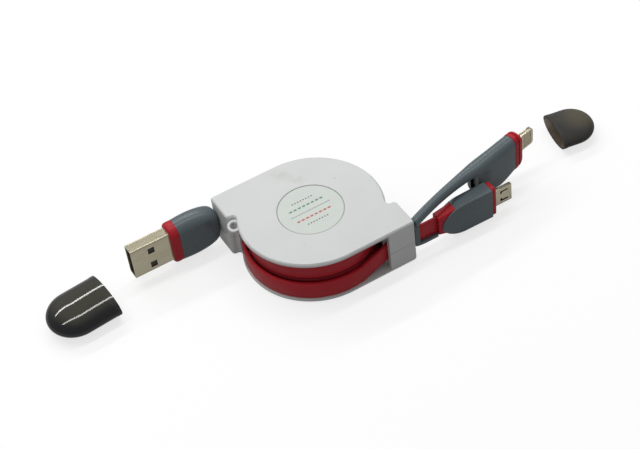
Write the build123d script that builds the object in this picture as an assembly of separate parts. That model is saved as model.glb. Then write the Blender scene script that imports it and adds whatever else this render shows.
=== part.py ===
from build123d import *
import os
from math import acos, atan2, degrees, hypot, sqrt

# Retractable charging cable: a white reel with a horn at two opposite corners, a flat red
# cable wound on two levels of one sprung spool, a host plug on one end, and on the other a
# small phone plug with an adapter for a second tip, tethered to it by a grey strap.
# Frame: origin on the spool axis at the underside, +X towards the phone plug, +Y to the
# back, +Z up. All sizes are in millimetres.

# Housing outline
reel_radius = 24.0
horn_corner = 1.3
horn_flat = 0.13
horn_tip = 0.9
notch_radius = 1.2

# Housing covers
reel_height = 18.0
top_plate = 2.0
floor_plate = 1.6
wall = 1.4
seam_drop = 0.3
seam_gap = 0.15
window_inset = 9.8
horn_wall_past = 2.2
top_edge = 0.45
bottom_edge = 1.3
guide_rib = 1.0

# Lanyard eye
eye_radius = 2.1
eye_hole = 0.9
eye_depth = 2.2
eye_edge = 0.4
eye_sink = 1.5
eye_out = 1.0
eye_angle = 158.0
eye_clear = 0.5

# Label and the cover screw below it
label_radius = 10.9
label_thick = 0.15
label_gap = 0.1
label_recess = 0.25
screw_head_radius = 2.4
screw_head = 1.0
screw_edge = 0.4
screw_radius = 1.0
screw_length = 9.0
screw_gap = 0.15

# Axle post and the stop ball's guide on the bottom cover
post_radius = 4.0
post_socket = 1.0
post_socket_wall = 1.2
post_running = 0.06
spring_slot = 0.9
spring_slot_depth = 1.6
ball_radius = 1.25
ball_back = 1.6
ball_guide_inset = 1.0
ball_guide_length = 4.4
ball_guide_wall = 0.8
ball_guide_height = 2.0
ball_gap = 0.15

# Flat cable
cable_thick = 1.3
level_gap = 0.225
turn_gap = 0.05
winding_halves = 7
winding_turn = -30.0
lead_inset = 0.45
running_gap = 0.25
lead_sweep = 120.0
lead_past = 2.0
ramp_start = 2.0
exit_inset = 2.5
exit_gap = 0.3
tail_gap = 0.3

# Spool and its spring
divider = 0.7
divider_gap = 0.35
drum_wall = 1.3
drum_clear = 0.3
web_height = 4.6
web = 1.0
sleeve_wall = 1.2
ratchet_inset = 1.65
ratchet_wall = 1.4
ratchet_notches = 12
ratchet_notch_width = 1.8
ratchet_notch_depth = 0.7
spring_turns = 4
spring_thick = 0.35
spring_gap = 0.6
spring_clear = 0.4
spring_tab = 0.9

# Host plug
host_rise = 0.8
host_gap = 0.4
host_end_height = 10.6
host_end_corner = 2.8
host_swell = 8.0
host_swell_height = 15.5
host_body_length = 14.5
host_body_height = 15.4
host_body_thick = 7.8
host_round = 2.4
host_collar_length = 3.0
host_collar_height = 15.2
host_collar_thick = 6.9
host_shell_length = 13.9
host_shell_height = 12.0
host_shell_thick = 4.5
host_shell_wall = 0.32
host_shell_round = 0.6
host_shell_bury = 6.0
host_hole_back = 7.0
host_hole_long = 2.3
host_hole_tall = 2.4
host_hole_pitch = 6.2
host_tongue_thick = 1.9
host_tongue_inset = 0.5
host_contact_long = 7.4
host_contact_wide = 1.1
host_contact_thick = 0.2
host_contact_pitch = 2.3
host_contacts_count = 4
strip_bury = 3.0
fit_gap = 0.03

# Phone plug, its collar and strain relief
phone_drop = 1.0
collar_gap = 0.4
collar_length = 1.7
collar_top = 1.7
collar_bottom = 0.5
collar_thick = 3.1
collar_edge = 0.6
lip_length = 8.6
lip_curve = 4.0
lip_depth = 1.2
lip_thick = 3.0
relief_back = 8.8
relief_length = 6.4
relief_height = 7.6
relief_thick = 3.7
relief_front_height = 10.4
relief_drop = 0.5
relief_front_thick = 4.0
relief_edge = 0.7
phone_step = 1.1
phone_length = 19.1
phone_height = 12.2
phone_ogive = 10.0
phone_rear_round = 3.5
phone_rear_thick = 4.8
phone_front_thick = 5.4
phone_edge = 0.4
phone_collar_length = 1.5
phone_collar_height = 12.4
phone_collar_thick = 5.0
phone_collar_round = 1.6
phone_shell_length = 7.1
phone_shell_drop = 0.4
phone_shell_width = 6.85
phone_shell_thick = 1.85
phone_shell_wall = 0.25
phone_shell_taper = 0.75
phone_shell_flat = 1.0
phone_shell_bury = 3.0
latch_back = 1.4
latch_long = 3.0
latch_wide = 0.6
latch_leg = 1.0
latch_pitch = 3.9
phone_insert_thick = 0.6
phone_insert_width = 4.6
phone_insert_inset = 0.5
phone_contact_wide = 0.4
phone_contact_pitch = 0.65
phone_contacts_count = 5
phone_contact_thick = 0.12

# Adapter with its blade tip
adapter_rise = 4.9
adapter_length = 17.7
adapter_rear_height = 11.8
adapter_front_height = 12.2
adapter_belly = 8.3
adapter_belly_back = 9.5
adapter_thick = 5.6
adapter_round = 2.2
adapter_collar_length = 3.4
adapter_collar_height = 12.0
adapter_collar_thick = 5.6
adapter_collar_round = 2.5
groove_width = 0.8
groove_depth = 0.5
groove_back = 1.3
blade_length = 7.1
blade_width = 6.7
blade_thick = 1.5
blade_round = 1.2
blade_bury = 4.0
pads_per_side = 8
pad_pitch = 0.6
pad_width = 0.36
pad_length = 3.0
pad_thick = 0.12
pad_window_margin = 0.25
pad_window_depth = 0.2
pad_tip = 1.3
socket_width = 7.5
socket_thick = 2.5
socket_round = 0.6
socket_wall = 0.25
socket_depth = 5.6
socket_drop = 0.9
socket_tongue_thick = 0.7
socket_tongue_width = 4.0
socket_tongue_inset = 0.8

# Strap from the collar to the adapter
strap_height = 2.3
strap_thick = 2.5
strap_yaw = 12.5
strap_set = 1.45
strap_run = 26.2
strap_foot = 1.3
strap_shoulder = 4.4
strap_foot_bend = 1.8
strap_shoulder_bend = 7.0
strap_bury = 3.0
strap_sink = 0.05
strap_gap = 0.1

# Caps, taken off and lying beside their plugs
cap_wall = 0.75
host_cap_length = 21.4
host_cap_width = 19.0
host_cap_height = 8.4
host_cap_edge = 2.6
host_cap_ahead = 11.1
host_cap_aside = 3.3
host_cap_yaw = 185.0
tip_cap_length = 14.2
tip_cap_width = 16.0
tip_cap_height = 7.6
tip_cap_edge = 2.0
tip_cap_ahead = 12.5
tip_cap_aside = 4.4
tip_cap_yaw = -10.0

# Levels and radii that follow from the sizes above
notch_x = reel_radius - horn_corner - horn_flat
notch_y = sqrt((reel_radius + notch_radius) ** 2 - notch_x ** 2)
horn_side = notch_y + notch_radius
window_edge = reel_radius - window_inset
wall_end = horn_side - horn_wall_past
exit_y = reel_radius - exit_inset
lead_end = window_edge + lead_past
cavity_low = floor_plate
cavity_high = reel_height - top_plate
mid_height = (cavity_low + cavity_high) / 2
seam_height = mid_height - seam_drop
cable_width = (cavity_high - cavity_low - divider) / 2 - 2 * level_gap
lower_level = cavity_low + level_gap + cable_width / 2
lead_outer = reel_radius - lead_inset
lead_inner = lead_outer - cable_thick
lead_radius = (lead_outer + lead_inner) / 2
winding_outer = lead_inner - running_gap
winding_inner = winding_outer - (winding_halves + 1) * cable_thick / 2
drum_radius = winding_inner - turn_gap
drum_bore = drum_radius - drum_wall
ratchet_radius = drum_bore - ratchet_inset - ratchet_wall
ball_guide_out = ratchet_radius - ball_guide_inset
ball_orbit = ball_guide_out - ball_back
post_bore = post_radius + post_running
spool_low = cavity_low + drum_clear
spool_high = cavity_high - drum_clear
strip_start = lead_end + tail_gap
label_seat = reel_height - label_recess


def section(x, thick, height, radius, y, z):
    """A rounded rectangle standing across the X axis, thick along Y and high along Z."""
    across = Plane(origin=(x, y, z), x_dir=(0, 1, 0), z_dir=(1, 0, 0))
    return across * RectangleRounded(thick, height, radius)


def block(x0, x1, y0, y1, z0, z1):
    """A box between two corners."""
    box = Box(x1 - x0, y1 - y0, z1 - z0)
    return Pos((x0 + x1) / 2, (y0 + y1) / 2, (z0 + z1) / 2) * box


def bar(x0, x1, thick, height, y, z):
    """A box along X, centred on a line at y and z."""
    return block(x0, x1, y - thick / 2, y + thick / 2, z - height / 2, z + height / 2)


def disc(radius, z0, z1):
    """A solid round plate on the spool axis."""
    return Pos(0, 0, z0) * extrude(Circle(radius), amount=z1 - z0)


def ring(inner, outer, z0, z1):
    """A round tube on the spool axis."""
    return Pos(0, 0, z0) * extrude(Circle(outer) - Circle(inner), amount=z1 - z0)


def turned(shape):
    """The same shape on the opposite side of the spool axis."""
    return Rot(0, 0, 180) * shape


def on_upper_level(shape):
    """A lower-level piece turned to the other side and set on the upper level."""
    return mirror(turned(shape), about=Plane.XY.offset(mid_height))


def spiral(start, pitch, thick, halves, height):
    """A strip wound outwards in half turns, each on its own centre."""
    inner = []
    outer = []
    for k in range(halves):
        centre = (pitch / 2 * (k % 2), 0)
        radius = start + k * pitch / 2
        inner.append(CenterArc(centre, radius, 180 * (k % 2), 180))
        outer.append(CenterArc(centre, radius + thick, 180 * (k % 2), 180))
    ends = [Line(inner[0] @ 0, outer[0] @ 0), Line(inner[-1] @ 1, outer[-1] @ 1)]
    return extrude(make_face(inner + outer + ends), amount=height)


# Housing: one outline shared by both covers, walled round the horns and open between them
notch_angle = degrees(atan2(notch_y, notch_x))
rib_face = cable_thick / 2 + exit_gap - exit_y


def housing_outline():
    """The housing seen from above: disc, horns and the rounded notch behind each horn."""
    front = Line((0, -reel_radius), (reel_radius - horn_tip, -reel_radius))
    tip = CenterArc((reel_radius - horn_tip, horn_tip - reel_radius), horn_tip, -90, 90)
    corner = CenterArc((reel_radius - horn_corner, -horn_side - horn_corner), horn_corner, 0, 90)
    end = Line(tip @ 1, corner @ 0)
    side = Line(corner @ 1, (notch_x, -horn_side))
    notch = CenterArc((notch_x, -notch_y), notch_radius, -90, -90 - notch_angle)
    rim = CenterArc((0, 0), reel_radius, -notch_angle, 90 + notch_angle)
    half = [front, tip, end, corner, side, notch, rim]
    return make_face(half + [turned(edge) for edge in half])


def horn_walls(z0, z1):
    """The closed walls of both horns with a guide rib beside each strip, and the exit slots."""
    inside = reel_radius - wall
    near = horn_side + wall
    room = Pos(inside / 2, -(inside + near) / 2) * Rectangle(inside, inside - near)
    hollow = Circle(inside) + room + turned(room)
    rim = Pos(0, 0, z0) * extrude(housing_outline() - hollow, amount=z1 - z0)
    kept = block(window_edge, reel_radius, -reel_radius, -wall_end, z0, z1)
    rib = block(window_edge, inside, rib_face, rib_face + guide_rib, z0, z1)
    slot = bar(inside - wall, reel_radius + wall, cable_thick + 2 * exit_gap,
               cable_width + 2 * exit_gap, -exit_y, mid_height)
    one_horn = (rim & kept) + rib - slot
    return one_horn + turned(one_horn)


def make_top_cover():
    """Top plate with the label recess, the horns' upper walls and the lanyard eye."""
    plate = extrude(housing_outline(), amount=top_plate)
    plate = fillet(plate.edges().group_by(Axis.Z)[-1], top_edge)
    cover = Pos(0, 0, cavity_high) * plate + horn_walls(seam_height + seam_gap, cavity_high)
    cover += ring(post_bore, post_bore + post_socket_wall, cavity_high - post_socket, cavity_high)
    eye_top = reel_height - eye_sink
    eye_low = eye_top - eye_depth
    eye_place = Rot(0, 0, eye_angle) * Pos(reel_radius + eye_out, 0, 0)
    eye = disc(eye_radius, eye_low, eye_top)
    eye = fillet(eye.edges().group_by(Axis.Z)[-1], eye_edge)
    recess = eye_place * disc(eye_radius + eye_clear, eye_low - eye_clear, reel_height)
    cover -= recess - disc(reel_radius, 0, reel_height)
    cover += eye_place * eye
    cover -= eye_place * disc(eye_hole, 0, reel_height)
    cover -= disc(label_radius + label_gap, label_seat, reel_height)
    cover -= disc(screw_head_radius + screw_gap, label_seat - screw_head - screw_gap, label_seat)
    cover -= disc(screw_radius + screw_gap, 0, label_seat)
    return cover


def make_bottom_cover():
    """Floor plate with the horns' lower walls, the axle post and the stop ball's guide."""
    plate = extrude(housing_outline(), amount=floor_plate)
    plate = fillet(plate.edges().group_by(Axis.Z)[0], bottom_edge)
    cover = plate + horn_walls(floor_plate, seam_height)
    post = disc(post_radius, floor_plate, cavity_high)
    pilot_low = label_seat - screw_head - screw_gap - screw_length
    post -= disc(screw_radius + fit_gap, pilot_low, cavity_high)
    slot_low = web_height + web
    post -= bar(post_radius - spring_slot_depth, post_radius, spring_slot,
                2 * (cavity_high - slot_low), spring_thick / 2, cavity_high)
    guide_x = ball_guide_out - ball_guide_length
    guide_y = ball_radius + ball_gap
    guide_top = floor_plate + ball_guide_height
    guide = block(guide_x, ball_guide_out, guide_y, guide_y + ball_guide_wall, floor_plate, guide_top)
    return cover + post + guide + mirror(guide, about=Plane.XZ)


def make_label():
    """Round sticker in the recess of the top cover."""
    return disc(label_radius, label_seat, label_seat + label_thick)


def make_cover_screw():
    """Pan-head screw under the label, from the top cover into the axle post."""
    head_low = label_seat - screw_head - screw_gap
    shank = disc(screw_radius, head_low - screw_length + screw_gap, head_low)
    head = disc(screw_head_radius, head_low, head_low + screw_head)
    head = chamfer(head.edges().group_by(Axis.Z)[-1], screw_edge)
    recess = bar(-screw_radius, screw_radius, screw_head / 2, screw_head, 0, head_low + screw_head)
    return shank + head - recess - Rot(0, 0, 90) * recess


# Spool: a drum with a divider between the two cable levels, on the axle post
spring_low = web_height + web + spring_clear
spring_high = cavity_high - post_socket - spring_clear
spring_start = post_radius + spring_gap
spring_pitch = (drum_bore - spring_start - spring_gap - spring_thick) / spring_turns
spring_end = spring_start + spring_turns * spring_pitch


def make_spool():
    """Drum, divider, web, bearing sleeve and the ratchet ring that the stop ball drops into."""
    spool = ring(drum_bore, drum_radius, spool_low, spool_high)
    spool += ring(drum_bore, lead_inner - divider_gap, mid_height - divider / 2, mid_height + divider / 2)
    spool += ring(post_bore, drum_radius, web_height, web_height + web)
    spool += ring(post_bore, post_bore + sleeve_wall, spool_low, web_height)
    ratchet = ring(ratchet_radius, ratchet_radius + ratchet_wall, spool_low, web_height)
    notch_out = ratchet_radius + ratchet_notch_depth
    notch = block(0, notch_out, -ratchet_notch_width / 2, ratchet_notch_width / 2, spool_low, web_height)
    for k in range(ratchet_notches):
        ratchet -= Rot(0, 0, 360 / ratchet_notches * k) * notch
    spool += ratchet
    spool -= bar(drum_bore - spring_gap, drum_bore + spring_tab, spring_slot,
                 2 * (spool_high - web_height - web), -spring_thick / 2, spool_high)
    return spool


def make_mainspring():
    """Flat spiral spring, hooked into the axle post inside and into the drum outside."""
    height = spring_high - spring_low
    middle = (spring_low + spring_high) / 2
    coil = spiral(spring_start, spring_pitch, spring_thick, 2 * spring_turns, height)
    inner_hook = bar(post_radius - spring_tab, spring_start + spring_thick, spring_thick, height,
                     spring_thick / 2, middle)
    outer_hook = bar(spring_end, drum_bore + spring_tab / 2, spring_thick, height,
                     -spring_thick / 2, middle)
    return Pos(0, 0, spring_low) * coil + inner_hook + outer_hook


def make_stop_ball():
    """Steel ball between the guide walls, loose under the spool's web."""
    return Pos(ball_orbit, 0, floor_plate + ball_radius) * Sphere(ball_radius)


def make_lower_winding():
    """The lower half of the cable, wound on the drum."""
    turns = spiral(winding_inner, cable_thick, cable_thick - turn_gap, winding_halves, cable_width)
    return Pos(0, 0, lower_level - cable_width / 2) * (Rot(0, 0, winding_turn) * turns)


# Leads: the outermost part of each cable half, from the winding up into its horn
lead_far = hypot(lead_end, exit_y)
lead_straight = sqrt(lead_far ** 2 - lead_radius ** 2)
lead_tilt = 90 - degrees(atan2(exit_y, lead_end)) - degrees(acos(lead_radius / lead_far))
lead_rise = mid_height - lower_level


def make_lower_lead():
    """Cable round the front of the reel, then straight and rising to the middle of the horn."""
    outer = CenterArc((0, 0), lead_outer, -90 - lead_sweep, lead_sweep)
    inner = CenterArc((0, 0), lead_inner, -90 - lead_sweep, lead_sweep)
    rounds = make_face([outer, inner, Line(outer @ 0, inner @ 0), Line(outer @ 1, inner @ 1)])
    lead = Pos(0, 0, lower_level - cable_width / 2) * extrude(rounds, amount=cable_width)
    half = cable_width / 2
    side = Polyline((0, -half), (ramp_start, -half), (lead_straight, lead_rise - half),
                    (lead_straight, lead_rise + half), (ramp_start, half), (0, half), close=True)
    run = extrude(make_face(Plane.XZ * side), amount=cable_thick / 2, both=True)
    lead += Pos(0, -lead_radius, lower_level) * run
    return Rot(0, 0, lead_tilt) * lead


# Host plug, built towards +X and then turned to the opposite horn
host_end = reel_radius + host_gap
host_body_front = host_end + host_body_length
host_front = host_body_front + host_collar_length
host_tip = host_front + host_shell_length
host_shell_rear = host_front - host_shell_bury
host_z = mid_height + host_rise


def make_host_strip():
    """End of the cable, from inside the horn into the plug's overmould."""
    strip = bar(strip_start, host_end + strip_bury, cable_thick, cable_width, -exit_y, mid_height)
    return turned(strip)


def make_host_body():
    """Grey barrel-shaped overmould, narrow and rounded at the horn."""
    end = host_end_height / 2
    swell = host_swell_height / 2
    front = host_body_height / 2
    outline = make_face([
        ThreePointArc((0, end), (host_swell, swell), (host_body_length, front)),
        Line((host_body_length, front), (host_body_length, -front)),
        ThreePointArc((host_body_length, -front), (host_swell, -swell), (0, -end)),
        Line((0, -end), (0, end)),
    ])
    body = extrude(Plane.XZ * outline, amount=host_body_thick / 2, both=True)
    body = fillet(body.edges().filter_by(Axis.Y).group_by(Axis.X)[0], host_end_corner)
    rims = body.edges().group_by(Axis.Y)[0] + body.edges().group_by(Axis.Y)[-1]
    body = fillet([edge for edge in rims if edge.center().X < host_body_length - fit_gap], host_round)
    body = Pos(host_end, -exit_y, host_z) * body
    body -= bar(host_shell_rear, host_body_front, host_shell_thick + 2 * fit_gap,
                host_shell_height + 2 * fit_gap, -exit_y, host_z)
    body -= bar(host_end, host_end + strip_bury + fit_gap, cable_thick + 2 * fit_gap,
                cable_width + 2 * fit_gap, -exit_y, mid_height)
    return turned(body)


def make_host_collar():
    """Red collar between the overmould and the shell."""
    collar = extrude(section(host_body_front, host_collar_thick, host_collar_height, host_round,
                             -exit_y, host_z), amount=host_collar_length)
    collar -= bar(host_body_front, host_front, host_shell_thick + 2 * fit_gap,
                  host_shell_height + 2 * fit_gap, -exit_y, host_z)
    return turned(collar)


def make_host_shell():
    """Folded metal shell with two square latch holes in each wide face."""
    length = host_tip - host_shell_rear
    inner_round = host_shell_round - host_shell_wall
    shell = extrude(section(host_shell_rear, host_shell_thick, host_shell_height, host_shell_round,
                            -exit_y, host_z), amount=length)
    shell -= extrude(section(host_shell_rear, host_shell_thick - 2 * host_shell_wall,
                             host_shell_height - 2 * host_shell_wall, inner_round,
                             -exit_y, host_z), amount=length)
    hole_x = host_tip - host_hole_back
    for side in (-1, 1):
        shell -= bar(hole_x - host_hole_long / 2, hole_x + host_hole_long / 2, 2 * host_shell_thick,
                     host_hole_tall, -exit_y, host_z + side * host_hole_pitch / 2)
    return turned(shell)


host_tongue_y = host_shell_thick / 2 - host_shell_wall - host_tongue_thick / 2 - fit_gap - exit_y


def make_host_tongue():
    """Plastic tongue inside the shell, against its back wide face."""
    tongue = bar(host_shell_rear, host_tip - host_tongue_inset, host_tongue_thick,
                 host_shell_height - 2 * host_shell_round, host_tongue_y, host_z)
    return turned(tongue)


def make_host_contacts():
    """Row of contact strips on the tongue."""
    face = host_tongue_y - host_tongue_thick / 2
    end = host_tip - 2 * host_tongue_inset
    strips = []
    for k in range(host_contacts_count):
        z = host_z + (k - (host_contacts_count - 1) / 2) * host_contact_pitch
        strips.append(bar(end - host_contact_long, end, host_contact_thick, host_contact_wide,
                          face - host_contact_thick / 2, z))
    return turned(Compound(strips))


# Phone plug with the strap's collar round its strip
phone_z = mid_height - phone_drop
phone_shell_z = phone_z - phone_shell_drop
collar_start = reel_radius + collar_gap
collar_front = collar_start + collar_length
lip_end = collar_start + lip_length
relief_start = collar_start + relief_back
relief_front = relief_start + relief_length
relief_z = mid_height - relief_drop
phone_rear = relief_start + phone_step
phone_front = phone_rear + phone_length
phone_nose = phone_front + phone_collar_length
phone_tip = phone_nose + phone_shell_length
strip_low = mid_height - cable_width / 2
collar_high = mid_height + cable_width / 2 + collar_top
strap_x = collar_start + strap_set


def make_strap_collar():
    """Grey frame round the strip at the horn, with a lip that runs out under the strip."""
    low = strip_low - collar_bottom
    frame = block(collar_start, collar_front, -exit_y - collar_thick / 2,
                  -exit_y + collar_thick / 2, low, collar_high)
    frame = fillet(frame.edges().filter_by(Axis.X), collar_edge)
    lip_low = strip_low - lip_depth
    lip_knee = collar_start + lip_curve
    side = make_face([
        Line((lip_knee, lip_low), (lip_end, lip_low)),
        Line((lip_end, lip_low), (lip_end, strip_low)),
        Line((lip_end, strip_low), (collar_start, strip_low)),
        Line((collar_start, strip_low), (collar_start, low)),
        TangentArc((lip_knee, lip_low), (collar_start, low), tangent=(-1, 0)),
    ])
    frame += Pos(0, -exit_y, 0) * extrude(Plane.XZ * side, amount=lip_thick / 2, both=True)
    return frame - bar(collar_start, lip_end, cable_thick + 2 * fit_gap, cable_width + 2 * fit_gap,
                       -exit_y, mid_height)


def relief_block(gap):
    """The strain relief, growing towards the plug, widened all round by a gap."""
    rear = section(relief_start, relief_thick + 2 * gap, relief_height + 2 * gap, relief_edge,
                   -exit_y, mid_height)
    front = section(relief_front + gap, relief_front_thick + 2 * gap, relief_front_height + 2 * gap,
                    relief_edge, -exit_y, relief_z)
    return loft([rear, front])


def make_phone_strip():
    """End of the cable, from inside the horn through the collar into the strain relief."""
    return bar(strip_start, relief_start + strip_bury, cable_thick, cable_width, -exit_y, mid_height)


def make_phone_relief():
    """Red tapered block moulded round the end of the strip, half inside the plug's body."""
    return relief_block(0) - bar(relief_start, relief_start + strip_bury + fit_gap,
                                 cable_thick + 2 * fit_gap, cable_width + 2 * fit_gap,
                                 -exit_y, mid_height)


def phone_profile(x0, length, inset):
    """The shell's section, wide at the front face and tapered towards the back one."""
    half = phone_shell_width / 2 - inset
    back = half - phone_shell_taper
    y0 = inset - phone_shell_thick / 2
    y1 = phone_shell_thick / 2 - inset
    bend = phone_shell_flat - phone_shell_thick / 2
    across = Plane(origin=(x0, -exit_y, phone_shell_z), x_dir=(0, 1, 0), z_dir=(1, 0, 0))
    outline = Polyline((y0, -half), (bend, -half), (y1, -back), (y1, back), (bend, half), (y0, half),
                       close=True)
    return extrude(across * make_face(outline), amount=length)


def make_phone_body():
    """Grey overmould, bullet-shaped from the side, whose cheeks reach back over the relief."""
    half = phone_height / 2
    centre_z = phone_ogive - half
    nose_x = phone_rear_round + sqrt((phone_ogive - phone_rear_round) ** 2 - centre_z ** 2)
    sharp_x = nose_x - sqrt(phone_ogive ** 2 - centre_z ** 2)
    upper = make_face([
        Line((phone_length, 0), (phone_length, half)),
        Line((phone_length, half), (nose_x, half)),
        CenterArc((nose_x, -centre_z), phone_ogive, 90, degrees(acos(centre_z / phone_ogive))),
        Line((sharp_x, 0), (phone_length, 0)),
    ])
    body = extrude(Plane.XZ * upper, amount=phone_front_thick, both=True)
    body += mirror(body, about=Plane.XY)
    body = fillet(body.edges().filter_by(Axis.Y).group_by(Axis.X)[0], phone_rear_round)
    rear = phone_rear_thick / 2
    front = phone_front_thick / 2
    wedge = Polyline((0, -rear), (phone_length, -front), (phone_length, front), (0, rear), close=True)
    body &= extrude(make_face(wedge), amount=phone_height, both=True)
    sides = body.faces().sort_by(Axis.Y)
    rims = sides[0].edges() + sides[-1].edges()
    body = fillet([edge for edge in rims if edge.center().X < phone_length - fit_gap], phone_edge)
    body = Pos(phone_rear, -exit_y, phone_z) * body
    body -= relief_block(fit_gap)
    return body - phone_profile(phone_front - phone_shell_bury, phone_shell_bury, -fit_gap)


def make_phone_collar():
    """Thin red collar in front of the body."""
    collar = extrude(section(phone_front, phone_collar_thick, phone_collar_height, phone_collar_round,
                             -exit_y, phone_z), amount=phone_collar_length)
    return collar - phone_profile(phone_front, phone_collar_length, -fit_gap)


def make_phone_shell():
    """Small metal shell with two angled latch slots in its wide face."""
    rear = phone_front - phone_shell_bury
    shell = phone_profile(rear, phone_tip - rear, 0)
    shell -= phone_profile(rear, phone_tip - rear, phone_shell_wall)
    slot_end = phone_tip - latch_back
    for side in (-1, 1):
        slot_z = phone_shell_z + side * latch_pitch / 2
        leg_z = slot_z - side * latch_leg / 2
        shell -= block(slot_end - latch_long, slot_end, -exit_y - phone_shell_thick, -exit_y,
                       slot_z - latch_wide / 2, slot_z + latch_wide / 2)
        shell -= block(slot_end - latch_long, slot_end - latch_long + latch_wide,
                       -exit_y - phone_shell_thick, -exit_y, leg_z - latch_leg / 2, leg_z + latch_leg / 2)
    return shell


phone_insert_face = phone_shell_thick / 2 - phone_shell_wall - fit_gap - phone_insert_thick - exit_y


def make_phone_insert():
    """Black plastic insert inside the shell, against its back face."""
    return block(phone_front - phone_shell_bury, phone_tip - phone_insert_inset, phone_insert_face,
                 phone_insert_face + phone_insert_thick, phone_shell_z - phone_insert_width / 2,
                 phone_shell_z + phone_insert_width / 2)


def make_phone_contacts():
    """Row of contact strips on the insert."""
    strips = []
    for k in range(phone_contacts_count):
        z = phone_shell_z + (k - (phone_contacts_count - 1) / 2) * phone_contact_pitch
        strips.append(bar(phone_nose, phone_tip - 2 * phone_insert_inset, phone_contact_thick,
                          phone_contact_wide, phone_insert_face - phone_contact_thick / 2, z))
    return Compound(strips)


# Adapter, built along +X from its socket face and then set beside the phone plug
strap_place = Pos(strap_x, -exit_y, 0) * Rot(0, 0, strap_yaw)
adapter_place = strap_place * Pos(strap_run, 0, mid_height + adapter_rise)
adapter_nose = adapter_length + adapter_collar_length
blade_tip_x = adapter_nose + blade_length
strap_base = collar_high + strap_gap
strap_high = mid_height + adapter_rise + adapter_rear_height / 2 - strap_sink


def make_strap():
    """Soft grey strap that rises from the collar and runs into the adapter's upper edge."""
    level = strap_high - strap_height / 2
    path = FilletPolyline((0, strap_base), (0, strap_base + strap_foot), (strap_shoulder, level),
                          (strap_run + strap_bury, level), radius=[strap_foot_bend, strap_shoulder_bend])
    path = Plane.XZ * path
    start = Plane(origin=path @ 0, x_dir=(0, 1, 0), z_dir=path % 0)
    strap = sweep(start * Rectangle(strap_thick, strap_height), path=path)
    return strap_place * strap


def make_adapter_body(strap):
    """Grey overmould with a straight back and a belly, the socket's pocket and the strap's seat."""
    rear = adapter_rear_height / 2
    front = adapter_front_height / 2
    outline = make_face([
        Line((0, rear), (adapter_length, front)),
        Line((adapter_length, front), (adapter_length, -front)),
        ThreePointArc((adapter_length, -front), (adapter_belly_back, -adapter_belly), (0, -rear)),
        Line((0, -rear), (0, rear)),
    ])
    body = extrude(Plane.XZ * outline, amount=adapter_thick / 2, both=True)
    rims = body.edges().group_by(Axis.Y)[0] + body.edges().group_by(Axis.Y)[-1]
    long_rims = [edge for edge in rims if fit_gap < edge.center().X < adapter_length - fit_gap]
    body = fillet(long_rims, adapter_round)
    body -= bar(0, socket_depth + fit_gap, socket_thick + 2 * fit_gap, socket_width + 2 * fit_gap,
                0, -socket_drop)
    body -= bar(adapter_nose - blade_bury, adapter_length, blade_thick + 2 * fit_gap,
                blade_width + 2 * fit_gap, 0, 0)
    return adapter_place * body - strap


def make_adapter_socket():
    """Metal socket shell at the rear that takes the phone plug."""
    shell = extrude(section(0, socket_thick, socket_width, socket_round, 0, -socket_drop),
                    amount=socket_depth)
    shell -= extrude(section(0, socket_thick - 2 * socket_wall, socket_width - 2 * socket_wall,
                             socket_round - socket_wall, 0, -socket_drop),
                     amount=socket_depth - socket_wall)
    return adapter_place * shell


def make_socket_tongue():
    """Contact tongue inside the socket."""
    tongue = bar(socket_tongue_inset, socket_depth - socket_wall, socket_tongue_thick,
                 socket_tongue_width, 0, -socket_drop)
    return adapter_place * tongue


def make_adapter_collar():
    """Red collar with a groove round it, in front of the adapter's body."""
    collar = extrude(section(adapter_length, adapter_collar_thick, adapter_collar_height,
                             adapter_collar_round, 0, 0), amount=adapter_collar_length)
    groove_x = adapter_length + groove_back
    groove = extrude(section(groove_x, 2 * adapter_collar_thick, 2 * adapter_collar_height,
                             adapter_collar_round, 0, 0), amount=groove_width)
    groove -= extrude(section(groove_x, adapter_collar_thick - 2 * groove_depth,
                              adapter_collar_height - 2 * groove_depth,
                              adapter_collar_round - groove_depth, 0, 0), amount=groove_width)
    collar -= groove
    collar -= bar(adapter_length, adapter_nose, blade_thick + 2 * fit_gap, blade_width + 2 * fit_gap, 0, 0)
    return adapter_place * collar


pads_width = (pads_per_side - 1) * pad_pitch + pad_width
pad_face = blade_thick / 2 - pad_window_depth


def make_blade_tip():
    """Flat metal tip with rounded corners and a shallow contact window on each side."""
    length = blade_length + blade_bury
    blade = bar(blade_tip_x - length, blade_tip_x, blade_thick, blade_width, 0, 0)
    corners = blade.edges().filter_by(Axis.Y).group_by(Axis.X)[-1]
    blade = fillet(corners, blade_round)
    window_x1 = blade_tip_x - pad_tip + pad_window_margin
    window_x0 = blade_tip_x - pad_tip - pad_length - pad_window_margin
    window_z = pads_width / 2 + pad_window_margin
    window = block(window_x0, window_x1, pad_face, blade_thick, -window_z, window_z)
    return adapter_place * (blade - window - mirror(window, about=Plane.XZ))


def make_blade_contacts():
    """Contact pads in the blade's two windows."""
    pads = []
    for side in (-1, 1):
        for k in range(pads_per_side):
            z = (k - (pads_per_side - 1) / 2) * pad_pitch
            pads.append(bar(blade_tip_x - pad_tip - pad_length, blade_tip_x - pad_tip, pad_thick,
                            pad_width, side * (pad_face + pad_thick / 2), z))
    return adapter_place * Compound(pads)


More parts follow.
